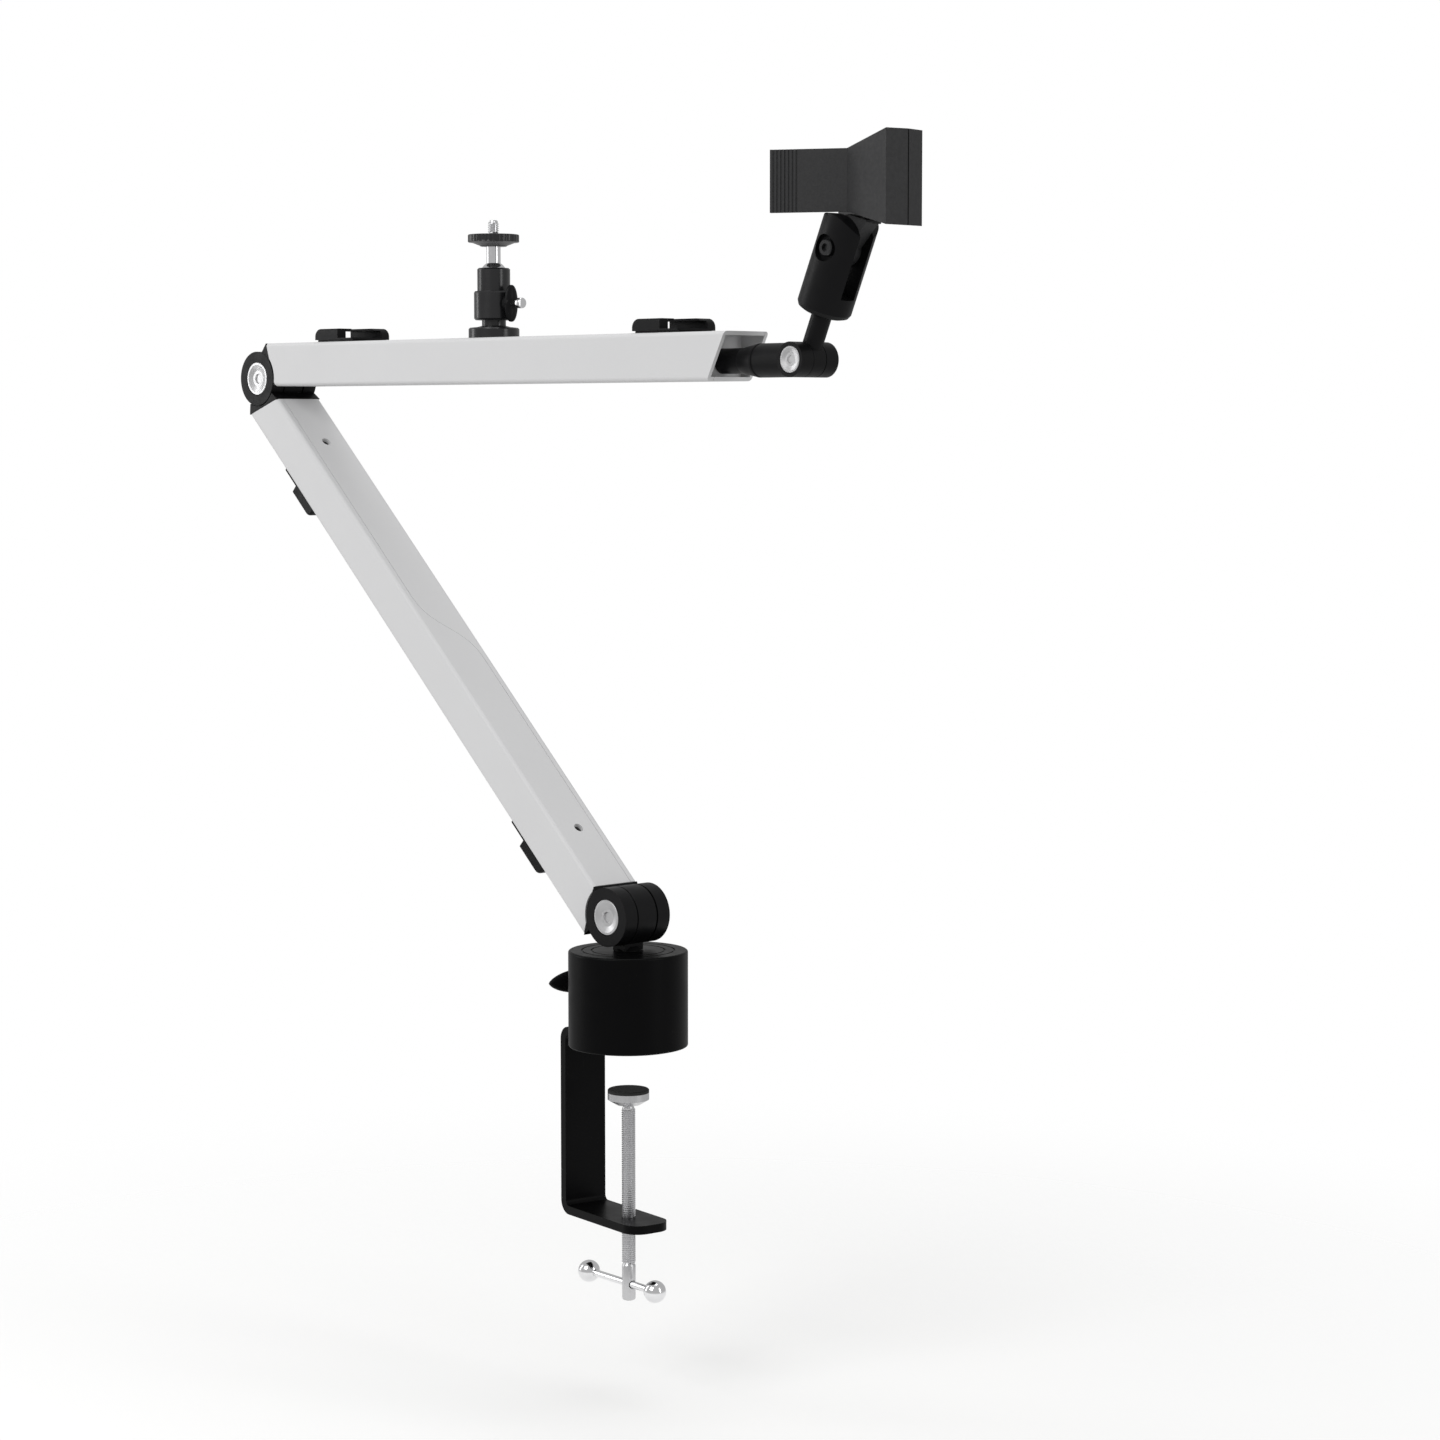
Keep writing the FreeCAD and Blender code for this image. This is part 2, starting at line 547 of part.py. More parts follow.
# ---- camera ball head ----
def ball_head():
    face = elbow_point().z + ARM_TOP
    base = V(BALL_X, 0, face)
    up = V(0, 0, 1)
    flange = turned([(0, 0), (15, 0), (15, 5.2), (14.2, 6), (10, 6.4), (7.1, 7.2), (7.1, 10.5), (0, 10.5)],
                    base, up)
    flange = flange.cut(rod(2.5, base, base + V(0, 0, 9)))
    save("ball_flange", flange)
    screw = turned([(0, -ARM_WALL - 2), (5, -ARM_WALL - 2), (5, -ARM_WALL), (2.5, -ARM_WALL),
                    (2.5, 8.5), (0, 8.5)], base, up)
    save("ball_mount_screw", screw)
    centre_h = 37.0
    centre = base + V(0, 0, centre_h)
    rim = centre_h + 4.0
    body = turned([(0, 10.5), (10.9, 10.5), (11.7, 11.5), (11.7, 26.5), (11.2, 27.4), (9.7, 27.6),
                   (9.7, rim - 0.8), (8.9, rim), (0, rim)], base, up)
    body = body.cut(Part.makeSphere(BALL_R + 0.06, centre))
    body = body.cut(rod(5.0, base + V(0, 0, 18), centre))
    lock_h = 20.0
    body = body.cut(rod(2.0 + RUN, base + V(0, 0, lock_h), base + V(20, 0, lock_h)))
    save("ball_body", body)
    lock_screw = turned([(0, 5.2), (2, 5.2), (2, 22), (2.8, 23), (2.8, 25.5), (2.2, 26.2), (0, 26.2)],
                        base + V(0, 0, lock_h), V(1, 0, 0))
    hub = turned([(0, 12.4), (4.2, 12.4), (5.2, 14.5), (5.2, 20.5), (4.4, 21.6), (0, 21.6)],
                 base + V(0, 0, lock_h), V(1, 0, 0))
    wing = Part.Face(Part.Wire(Part.Ellipse(V(0, 0, 0), 10.8, 4.6).toShape())).extrude(V(0, 0, 5))
    wing = wing.makeFillet(1.4, wing.Edges)
    turn = FreeCAD.Rotation(V(0, 0, 1), V(0, 1, 0), V(-1, 0, 0), "ZXY")
    wing = moved(wing, FreeCAD.Placement(base + V(20.4, 0, lock_h), turn))
    knob = hub.fuse(wing).cut(rod(2.0, base + V(10, 0, lock_h), base + V(30, 0, lock_h)))
    save("ball_lock_screw", lock_screw)
    save("ball_lock_knob", knob)
    save("camera_ball", Part.makeSphere(BALL_R, centre))
    stem = rod(4.15, centre, base + V(0, 0, 53.5)).cut(Part.makeSphere(BALL_R + 0.02, centre))
    save("ball_stem", stem)
    plate = turned([(0, 53.6), (8, 53.6), (13.4, 56.1), (14.6, 56.1), (15.1, 56.6), (15.1, 60.0),
                    (14.5, 60.6), (0, 60.6)], base, up)
    stud = turned([(0, 55.6), (STUD_NECK_R, 55.6), (STUD_NECK_R, 60.9), (STUD_R, 60.9), (STUD_R, 68.2),
                   (STUD_R - 0.8, 69), (0, 69)], base, up)
    save("camera_plate", plate.cut(rod(STUD_NECK_R, base + V(0, 0, 55.6), base + V(0, 0, 62))))
    save("camera_stud", stud)


# ---- wrist, stem and yoke ----
def along_yoke(distance):
    lean = math.radians(YOKE_LEAN)
    return wrist_point() + V(math.sin(lean), 0, math.cos(lean)) * distance


def wrist():
    pivot = wrist_point()
    forward = V(1, 0, 0)
    start = pivot.x - WRIST_END_INNER - 4.5
    neck_len = pivot.x - start
    profile = [(0, 0), (7, 0), (7, 17), (9.3, 29), (9.3, 30.2), (8.8, 30.6), (8.8, 31.4), (9.3, 31.8),
               (9.3, neck_len), (0, neck_len)]
    neck = turned(profile, V(start, 0, pivot.z), forward)
    neck = neck.fuse(rod(5.0, V(start - 29.0, 0, pivot.z), V(start + 1, 0, pivot.z)))
    neck = neck.fuse(rod(WRIST_R, pivot - V(0, WRIST_HALF, 0), pivot + V(0, WRIST_HALF, 0)))
    slot = WRIST_TONGUE + 0.2
    neck = neck.cut(rod(WRIST_R + 1.6, pivot - V(0, slot, 0), pivot + V(0, slot, 0)))
    for side in (-1, 1):
        neck = neck.cut(rod(7.5, pivot + V(0, side * (WRIST_HALF - 1.6), 0), pivot + V(0, side * 30, 0)))
    neck = neck.cut(bore(pivot, WRIST_PIN_R + 0.02))
    neck = neck.cut(rod(2.0, V(start - 30, 0, pivot.z), V(start - 18, 0, pivot.z)))
    save("wrist_neck", neck)
    retainer = turned([(0, 0), (3.5, 0), (3.5, 2), (7, 2), (7, 3.4), (2, 3.4), (2, 12), (0, 12)],
                      V(start - 32.5, 0, pivot.z), forward)
    save("wrist_retainer", retainer)
    reach = WRIST_HALF - 1.5
    head = turned(dished_head(7.4, 1.5, WRIST_HALF), pivot, V(0, -1, 0))
    save("wrist_pin", head.fuse(rod(WRIST_PIN_R, pivot - V(0, reach, 0), pivot + V(0, reach, 0))))
    save("wrist_nut", turned(dished_head(7.4, 1.5, WRIST_HALF), pivot, V(0, 1, 0)))


def wrist_stem():
    pivot = wrist_point()
    shaft = rod(STEM_R, along_yoke(2), along_yoke(YOKE_LOW))
    cheeks = WRIST_R + 1.2
    for side in (-1, 1):
        clear = rod(cheeks, pivot + V(0, side * WRIST_TONGUE, 0), pivot + V(0, side * 30, 0))
        shaft = shaft.cut(clear)
    body = shaft.fuse(knuckle(pivot, WRIST_R, WRIST_TONGUE))
    body = body.fuse(rod(4.7, along_yoke(YOKE_LOW - 1), along_yoke(YOKE_LOW + 9.5)))
    return body.cut(bore(pivot, WRIST_PIN_R + RUN))


def yoke():
    axis = along_yoke(1) - along_yoke(0)
    origin = wrist_point()
    body = turned([(0, YOKE_LOW), (YOKE_R - 3, YOKE_LOW), (YOKE_R - 1, YOKE_LOW + 1), (YOKE_R, YOKE_LOW + 3),
                   (YOKE_R, YOKE_TOP), (0, YOKE_TOP)], origin, axis)
    tilt = along_yoke(TILT_S)
    head = rod(EAR_R, tilt - V(0, 30, 0), tilt + V(0, 30, 0))
    frame = FreeCAD.Placement(origin, FreeCAD.Rotation(V(0, 1, 0), YOKE_LEAN))
    trunk = moved(block(-30, 30, -30, 30, 0, TILT_S), frame)
    body = body.common(head.fuse(trunk))
    slot = WRIST_TONGUE + 0.2
    body = body.cut(moved(block(-30, 30, -slot, slot, YOKE_SLOT, 100), frame))
    body = body.cut(bore(tilt, WRIST_PIN_R + 0.02))
    body = body.cut(rod(7.2, tilt - V(0, 11.0, 0), tilt - V(0, 30, 0)))
    body = body.cut(rod(4.6, tilt + V(0, 11.0, 0), tilt + V(0, 30, 0)))
    body = body.cut(rod(7.5, along_yoke(YOKE_LOW - 1), along_yoke(YOKE_LOW + 10.5)))
    return body


def yoke_fittings():
    tilt = along_yoke(TILT_S)
    ring = rod(7.48, along_yoke(YOKE_LOW), along_yoke(YOKE_LOW + 10.4))
    save("thread_insert", ring.cut(rod(4.72, along_yoke(YOKE_LOW - 1), along_yoke(YOKE_LOW + 20))))
    profile = [(0, 11), (4.6, 11), (4.6, 13.2), (4.0, 13.8), (2.2, 13.8), (2.2, 12.2), (0, 12.2)]
    head = turned(profile, tilt, V(0, -1, 0))
    save("tilt_screw", head.fuse(rod(WRIST_PIN_R, tilt - V(0, 11.1, 0), tilt + V(0, 14.2, 0))))
    nut = rod(4.5, tilt + V(0, 11, 0), tilt + V(0, 13.8, 0))
    save("tilt_nut", nut.cut(bore(tilt, WRIST_PIN_R + 0.02)))


# ---- sprung holder ----
def jaw_outline(side):
    """Plan of one half of the holder: handle, bend, flared jaw and turned-in tip."""
    splay = math.radians(HANDLE_SPLAY)
    way = (-math.cos(splay), math.sin(splay))
    inward = (-math.sin(splay), -math.cos(splay))
    bend = (JAW_PIN_X, PLATE_Y)
    end = (bend[0] + way[0] * HANDLE_L, bend[1] + way[1] * HANDLE_L)
    end_in = (end[0] + inward[0] * PLATE_T, end[1] + inward[1] * PLATE_T)
    bend_in = (bend[0] + inward[0] * PLATE_T, bend[1] + inward[1] * PLATE_T)
    points = [end, bend, (JAW_TIP_X, JAW_TIP_Y), (JAW_TIP_X + 3.0, 0.4), (JAW_PIN_X + 6.0, 0.4),
              (JAW_PIN_X + 4.0, 4.0), bend_in, end_in]
    return [(x, side * y) for x, y in points]


def jaw_half(side):
    low = JAW_MID_Z - JAW_H / 2
    high = JAW_MID_Z + JAW_H / 2
    body = flat_xy(jaw_outline(side), low, high)
    back = JAW_PIN_X - 60
    h = HANDLE_H / 2
    tip = JAW_TIP_X + 10
    profile = [(back, JAW_MID_Z - h), (JAW_PIN_X, JAW_MID_Z - h), (JAW_TIP_X, low), (tip, low),
               (tip, high), (JAW_TIP_X, high), (JAW_PIN_X, JAW_MID_Z + h), (back, JAW_MID_Z + h)]
    body = body.common(flat_xz(profile, -60, 60))
    body = body.cut(rod(SEAT_R, V(SEAT_X, 0, low - 1), V(SEAT_X, 0, high + 1)))
    return body.cut(grip_grooves(side))


def grip_grooves(side):
    """Fine upright grooves near the end of a handle."""
    splay = math.radians(HANDLE_SPLAY)
    grooves = []
    for index in range(7):
        reach = HANDLE_L - 2.0 - index * 2.1
        x = JAW_PIN_X - math.cos(splay) * reach
        y = side * (PLATE_Y + math.sin(splay) * reach)
        grooves.append(rod(0.45, V(x, y, JAW_MID_Z - 30), V(x, y, JAW_MID_Z + 30)))
    return Part.makeCompound(grooves)


def hub(ranges, radius):
    pieces = [rod(radius, V(JAW_PIN_X, 0, JAW_MID_Z + a), V(JAW_PIN_X, 0, JAW_MID_Z + b)) for a, b in ranges]
    return pieces


MOVING_HUBS = ((-16.5, -9.5), (9.5, 16.5))
FIXED_HUBS = ((-9.2, -3.3), (3.3, 9.2))


def with_hubs(body, own, others):
    for piece in hub([(a - 0.3, b + 0.3) for a, b in others], HUB_CLEAR):
        body = body.cut(piece)
    for piece in hub(own, HUB_R):
        body = body.fuse(piece)
    hole = rod(JAW_PIN_R + 0.03, V(JAW_PIN_X, 0, JAW_MID_Z - 40), V(JAW_PIN_X, 0, JAW_MID_Z + 40))
    return body.cut(hole)


def fixed_jaw():
    body = with_hubs(jaw_half(1), FIXED_HUBS, MOVING_HUBS)
    tilt = along_yoke(TILT_S)
    web = block(JAW_PIN_X + 5.8, JAW_PIN_X + 12.0, 0.4, 6.5, JAW_MID_Z - 23, JAW_MID_Z - 5)
    under = JAW_MID_Z - HANDLE_H / 2 - 1.8
    flare = (JAW_H - HANDLE_H) / 2 / (JAW_TIP_X - JAW_PIN_X)
    front_x = JAW_PIN_X + 12.0
    neck = flat_xz([(tilt.x - 6, tilt.z + 2), (tilt.x + 7, tilt.z - 2), (front_x, JAW_MID_Z - 22.5),
                    (front_x, under - flare * 12.0 - 0.2), (JAW_PIN_X, under), (tilt.x - 4, under)],
                   -WRIST_TONGUE, WRIST_TONGUE)
    tongue = neck.fuse(rod(9.0, tilt - V(0, WRIST_TONGUE, 0), tilt + V(0, WRIST_TONGUE, 0)))
    body = body.fuse(web).fuse(tongue)
    body = body.cut(rod(SEAT_R, V(SEAT_X, 0, JAW_MID_Z - 40), V(SEAT_X, 0, JAW_MID_Z + 40)))
    return body.cut(bore(tilt, WRIST_PIN_R + RUN))


def jaw_pad(side):
    top = 18.0
    ring = rod(SEAT_R, V(SEAT_X, 0, JAW_MID_Z - top), V(SEAT_X, 0, JAW_MID_Z + top))
    ring = ring.cut(rod(SEAT_R - SEAT_PAD_T, V(SEAT_X, 0, JAW_MID_Z - 30), V(SEAT_X, 0, JAW_MID_Z + 30)))
    y0, y1 = sorted((side * 0.5, side * 20))
    return ring.common(block(SEAT_X - 20, SEAT_X + 20, y0, y1, JAW_MID_Z - 30, JAW_MID_Z + 30))


def jaw_spring():
    """Torsion spring on the jaw pin, drawn as its coil's envelope and two legs."""
    coil = rod(3.9, V(JAW_PIN_X, 0, JAW_MID_Z - 2.8), V(JAW_PIN_X, 0, JAW_MID_Z + 2.8))
    coil = coil.cut(rod(2.7, V(JAW_PIN_X, 0, JAW_MID_Z - 9), V(JAW_PIN_X, 0, JAW_MID_Z + 9)))
    splay = math.radians(HANDLE_SPLAY)
    for side, z in ((-1, -2.2), (1, 2.2)):
        start = V(JAW_PIN_X - 1.9, side * 3.5, JAW_MID_Z + z)
        leg = rod(0.5, start, start + V(-math.cos(splay), side * math.sin(splay), 0) * 18)
        coil = coil.fuse(leg)
    return coil


def holder():
    save("fixed_jaw", fixed_jaw())
    save("moving_jaw", with_hubs(jaw_half(-1), MOVING_HUBS, FIXED_HUBS))
    h = HANDLE_H / 2
    save("jaw_pin", rod(JAW_PIN_R, V(JAW_PIN_X, 0, JAW_MID_Z - h), V(JAW_PIN_X, 0, JAW_MID_Z + h)))
    save("rear_jaw_pad", jaw_pad(1))
    save("front_jaw_pad", jaw_pad(-1))
    save("jaw_spring", jaw_spring())


def main():
    os.makedirs("parts", exist_ok=True)
    save("clamp_bracket", clamp_bracket())
    save("base_pad", base_pad())
    save("base_core", base_core())
    save("base_cover", base_cover())
    save("base_bolts", *base_bolts())
    shoe, screw, knob = lock_parts()
    save("lock_shoe", shoe)
    save("lock_screw", screw)
    save("lock_knob", knob)
    save("clamp_screw", clamp_screw())
    save("tommy_bar", tommy_bar())
    save("tommy_balls", *tommy_balls())
    save("pressure_pad", pressure_pad())
    save("pad_rubber", pad_rubber())
    save("swivel_post", swivel_post())
    save("shoulder_bush", bush(V(0, 0, SHOULDER_Z), TONGUE_HALF - 0.05))
    lower_arm()
    upper_arm()
    ball_head()
    wrist()
    save("wrist_stem", wrist_stem())
    save("yoke", yoke())
    yoke_fittings()
    holder()


main()
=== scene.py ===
import json
import math

import bmesh
import bpy
from mathutils import Matrix, Vector


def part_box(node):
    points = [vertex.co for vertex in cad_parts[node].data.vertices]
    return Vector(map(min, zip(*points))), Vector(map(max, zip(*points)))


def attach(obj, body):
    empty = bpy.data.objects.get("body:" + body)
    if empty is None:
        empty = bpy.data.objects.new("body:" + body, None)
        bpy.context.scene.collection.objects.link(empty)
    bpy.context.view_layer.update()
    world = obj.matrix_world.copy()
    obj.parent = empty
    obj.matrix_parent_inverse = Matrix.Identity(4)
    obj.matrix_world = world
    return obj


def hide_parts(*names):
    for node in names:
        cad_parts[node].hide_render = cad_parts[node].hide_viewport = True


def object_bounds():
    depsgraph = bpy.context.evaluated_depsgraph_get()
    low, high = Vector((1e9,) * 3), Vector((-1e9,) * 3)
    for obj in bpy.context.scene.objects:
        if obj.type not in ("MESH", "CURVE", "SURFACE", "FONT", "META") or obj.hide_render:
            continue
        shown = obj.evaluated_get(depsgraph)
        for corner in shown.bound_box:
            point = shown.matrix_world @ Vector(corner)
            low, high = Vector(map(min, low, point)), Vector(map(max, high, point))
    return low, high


# Looks of the desk-clamp boom arm: node materials for every CAD node, and detailed
# meshes for the threads, the spring, the wing knobs and the camera plate.
# Everything is in metres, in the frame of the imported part.

MM = 0.001
X, Y, Z = Vector((1, 0, 0)), Vector((0, 1, 0)), Vector((0, 0, 1))
MERGE = 1e-6              # vertices nearer than this are joined
SCREW_DROP = 55 * MM      # how far the clamp screw can be wound down from rest
SHARP = math.radians(32)  # edges sharper than this stay crisp
NOISE_SPAN = (0.25, 0.75)  # the part of a noise texture's range that is spread out
FLOOR_GAP = 1.5 * MM      # between the floor and the lowest point of any pose

VIEW_FROM = (1.43493, -1.30290, 0.35873)
VIEW_HEADING = math.radians(46.197)
VIEW_DROP = math.radians(5.013)   # how far the view looks down
VIEW_LENS = 85.0
PART_MIDDLE = (-0.05, 0.0, 0.25)  # what the lights point at

# Threads: root radius, crest radius and pitch in millimetres.
M8_THREAD = (3.38, 4.0, 1.25)
CAMERA_THREAD = (2.5, 3.175, 1.27)
STUD_NECK = 2.9
BAR_HOLE = 2.45 * MM

# Wings of the two knobs in millimetres: half length, half height, half thickness, and
# how pointed the tips are.
LOCK_WING = (24.4, 7.4, 3.0, 0.62)
BALL_WING = (10.8, 4.8, 2.6, 0.42)

PIN_GREY = (0.58, 0.58, 0.585)
PIN_ROUGHNESS = 0.38

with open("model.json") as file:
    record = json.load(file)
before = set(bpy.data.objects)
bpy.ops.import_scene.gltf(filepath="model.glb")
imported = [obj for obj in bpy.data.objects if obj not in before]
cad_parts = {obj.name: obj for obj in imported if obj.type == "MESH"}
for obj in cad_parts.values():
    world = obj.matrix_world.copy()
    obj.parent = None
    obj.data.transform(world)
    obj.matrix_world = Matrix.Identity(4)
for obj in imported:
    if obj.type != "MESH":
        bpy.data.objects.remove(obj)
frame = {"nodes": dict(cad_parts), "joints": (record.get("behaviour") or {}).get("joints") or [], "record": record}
cad_box = [list(corner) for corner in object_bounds()]
joint_at = {j["name"]: Vector(j["pos_m"]) for j in frame["joints"] if "pos_m" in j}
joint_axis = {j["name"]: Vector(j["axis"]) for j in frame["joints"]}
slot_of = {part["node"]: part["material_slot"] for part in frame["record"]["subparts"]}


# ---- camera, floor and light ----
def add_camera():
    data = bpy.data.cameras.new("camera")
    data.lens = VIEW_LENS
    data.sensor_width = 36.0
    camera = bpy.data.objects.new("camera", data)
    camera.location = VIEW_FROM
    camera.rotation_euler = (math.pi / 2 - VIEW_DROP, 0.0, VIEW_HEADING)
    bpy.context.scene.collection.objects.link(camera)
    bpy.context.scene.camera = camera


def add_light(name, place, target, size, watts):
    data = bpy.data.lights.new(name, "AREA")
    data.shape = "RECTANGLE"
    data.size, data.size_y = size
    data.energy = watts
    light = bpy.data.objects.new(name, data)
    light.location = place
    light.rotation_euler = (Vector(target) - Vector(place)).to_track_quat("-Z", "Y").to_euler()
    bpy.context.scene.collection.objects.link(light)


def add_world(seen, light):
    """White surroundings: one strength for what the lens sees, a lower one for the light they give."""
    world = bpy.data.worlds.new("studio")
    world.use_nodes = True
    bpy.context.scene.world = world
    nodes, links = world.node_tree.nodes, world.node_tree.links
    path = nodes.new("ShaderNodeLightPath")
    spread = nodes.new("ShaderNodeMapRange")
    spread.inputs["To Min"].default_value = light
    spread.inputs["To Max"].default_value = seen
    links.new(path.outputs["Is Camera Ray"], spread.inputs["Value"])
    back = nodes["Background"]
    back.inputs["Color"].default_value = (1, 1, 1, 1)
    links.new(spread.outputs["Result"], back.inputs["Strength"])


def add_floor(radius, full, drop):
    """Pale disc under the part's lowest pose, which fades out towards its edge."""
    level = cad_box[0][2] - drop
    mesh = bpy.data.meshes.new("floor")
    bm = bmesh.new()
    bmesh.ops.create_circle(bm, cap_ends=True, segments=128, radius=radius,
                            matrix=Matrix.Translation((0, 0, level)))
    bm.to_mesh(mesh)
    bm.free()
    floor = bpy.data.objects.new("floor", mesh)
    bpy.context.scene.collection.objects.link(floor)
    material = bpy.data.materials.new("pale_floor")
    material.use_nodes = True
    nodes, links = material.node_tree.nodes, material.node_tree.links
    shader = nodes["Principled BSDF"]
    shader.inputs["Base Color"].default_value = (0.9, 0.9, 0.895, 1)
    shader.inputs["Roughness"].default_value = 0.7
    shader.inputs["Specular IOR Level"].default_value = 0.1
    shader.inputs["Emission Color"].default_value = (1, 1, 1, 1)
    shader.inputs["Emission Strength"].default_value = 0.14
    where = nodes.new("ShaderNodeTexCoord")
    flat = nodes.new("ShaderNodeVectorMath")
    flat.operation = "MULTIPLY"
    flat.inputs[1].default_value = (1, 1, 0)
    reach = nodes.new("ShaderNodeVectorMath")
    reach.operation = "LENGTH"
    fade = nodes.new("ShaderNodeMapRange")
    fade.interpolation_type = "SMOOTHSTEP"
    fade.inputs["From Min"].default_value = full
    fade.inputs["From Max"].default_value = radius
    clear = nodes.new("ShaderNodeBsdfTransparent")
    mix = nodes.new("ShaderNodeMixShader")
    links.new(where.outputs["Object"], flat.inputs[0])
    links.new(flat.outputs["Vector"], reach.inputs[0])
    links.new(reach.outputs["Value"], fade.inputs["Value"])
    links.new(fade.outputs["Result"], mix.inputs["Fac"])
    links.new(shader.outputs["BSDF"], mix.inputs[1])
    links.new(clear.outputs["BSDF"], mix.inputs[2])
    links.new(mix.outputs["Shader"], nodes["Material Output"].inputs["Surface"])
    mesh.materials.append(material)


def set_stage():
    bpy.context.scene.view_settings.view_transform = "Standard"
    add_camera()
    add_world(seen=1.0, light=0.50)
    add_floor(radius=0.9, full=0.12, drop=SCREW_DROP + FLOOR_GAP)
    add_light("key", (0.1, -1.9, 1.5), PART_MIDDLE, (1.3, 1.3), 22)
    add_light("side", (2.1, 0.6, 0.7), PART_MIDDLE, (0.5, 1.6), 7)
    add_light("left", (-1.9, -1.0, 0.6), PART_MIDDLE, (0.5, 1.5), 7)
    add_light("top", (-0.1, 0.2, 2.2), PART_MIDDLE, (1.4, 1.0), 10)


# ---- materials ----
class Finish:
    """A Principled material whose nodes are added feature by feature. Lengths are in metres."""

    def __init__(self, name, colour, roughness, metallic=0.0, specular=0.5):
        self.material = bpy.data.materials.new(name)
        self.material.use_nodes = True
        self.nodes = self.material.node_tree.nodes
        self.links = self.material.node_tree.links
        self.shader = self.nodes["Principled BSDF"]
        self.colour = colour
        self.roughness = roughness
        self.shader.inputs["Base Color"].default_value = (*colour, 1)
        self.shader.inputs["Roughness"].default_value = roughness
        self.shader.inputs["Metallic"].default_value = metallic
        self.shader.inputs["Specular IOR Level"].default_value = specular
        self.where = self.nodes.new("ShaderNodeTexCoord").outputs["Object"]
        self.bump = None

    def noise(self, size, detail=3.0, stretch=(1, 1, 1)):
        """Noise whose features are about size across, drawn out along an axis by stretch."""
        mapping = self.nodes.new("ShaderNodeMapping")
        mapping.inputs["Scale"].default_value = [1.0 / s for s in stretch]
        noise = self.nodes.new("ShaderNodeTexNoise")
        noise.inputs["Scale"].default_value = 1.0 / size
        noise.inputs["Detail"].default_value = detail
        self.links.new(self.where, mapping.inputs["Vector"])
        self.links.new(mapping.outputs["Vector"], noise.inputs["Vector"])
        return noise.outputs["Fac"]

    def rings(self, centre, axis, pitch):
        """Concentric turning marks about an axis through centre."""
        shift = self.nodes.new("ShaderNodeVectorMath")
        shift.operation = "SUBTRACT"
        shift.inputs[1].default_value = centre
        wave = self.nodes.new("ShaderNodeTexWave")
        wave.wave_type = "RINGS"
        wave.rings_direction = axis
        wave.inputs["Scale"].default_value = 0.314 / pitch
        wave.inputs["Distortion"].default_value = 0.6
        self.links.new(self.where, shift.inputs[0])
        self.links.new(shift.outputs["Vector"], wave.inputs["Vector"])
        return wave.outputs["Fac"]

    def remap(self, value, low, high):
        spread = self.nodes.new("ShaderNodeMapRange")
        spread.inputs["From Min"].default_value = NOISE_SPAN[0]
        spread.inputs["From Max"].default_value = NOISE_SPAN[1]
        spread.inputs["To Min"].default_value = low
        spread.inputs["To Max"].default_value = high
        self.links.new(value, spread.inputs["Value"])
        return spread.outputs["Result"]

    def vary_colour(self, value, amount):
        mix = self.nodes.new("ShaderNodeMix")
        mix.data_type = "RGBA"
        mix.inputs["A"].default_value = (*[c * (1 - amount) for c in self.colour], 1)
        mix.inputs["B"].default_value = (*[min(1.0, c * (1 + amount)) for c in self.colour], 1)
        self.links.new(self.remap(value, 0, 1), mix.inputs["Factor"])
        self.links.new(mix.outputs["Result"], self.shader.inputs["Base Color"])
        return self

    def vary_roughness(self, value, amount):
        low, high = self.roughness - amount, self.roughness + amount
        self.links.new(self.remap(value, low, high), self.shader.inputs["Roughness"])
        return self

    def add_bump(self, value, height):
        bump = self.nodes.new("ShaderNodeBump")
        bump.inputs["Strength"].default_value = 1.0
        bump.inputs["Distance"].default_value = height
        self.links.new(value, bump.inputs["Height"])
        if self.bump:
            self.links.new(self.bump, bump.inputs["Normal"])
        self.bump = bump.outputs["Normal"]
        self.links.new(self.bump, self.shader.inputs["Normal"])
        return self


def painted(name, colour, roughness, specular, peel):
    """Powder coat: orange peel, a finer grain on it and a faint cloudiness."""
    made = Finish(name, colour, roughness, specular=specular)
    made.vary_colour(made.noise(60 * MM, 2.0), 0.012)
    made.vary_roughness(made.noise(9 * MM), 0.04)
    made.add_bump(made.noise(1.6 * MM, 2.0), peel)
    return made.add_bump(made.noise(0.35 * MM, 2.0), peel * 0.25).material


def moulded(name, colour, roughness, specular, grain, height):
    """Moulded plastic: spark-eroded grain, with colour and gloss that vary a little."""
    made = Finish(name, colour, roughness, specular=specular)
    made.vary_colour(made.noise(18 * MM), 0.10)
    made.vary_roughness(made.noise(5 * MM, 4.0), 0.06)
    made.add_bump(made.noise(grain, 4.0), height)
    return made.material


def drawn(name, colour, roughness, stretch):
    """Metal with fine scratches that run along the axis with the largest stretch."""
    made = Finish(name, colour, roughness, metallic=1.0)
    made.vary_colour(made.noise(14 * MM), 0.05)
    made.vary_roughness(made.noise(0.5 * MM, 3.0, stretch), 0.08)
    made.add_bump(made.noise(0.3 * MM, 3.0, stretch), 0.006 * MM)
    return made.material


def plated(name, colour, roughness):
    """Bright plating over a polished surface, with faint haze and small pits."""
    made = Finish(name, colour, roughness, metallic=1.0)
    made.vary_colour(made.noise(10 * MM), 0.03)
    made.vary_roughness(made.noise(2.5 * MM, 4.0), 0.04)
    return made.add_bump(made.noise(1.2 * MM, 3.0), 0.0008 * MM).material


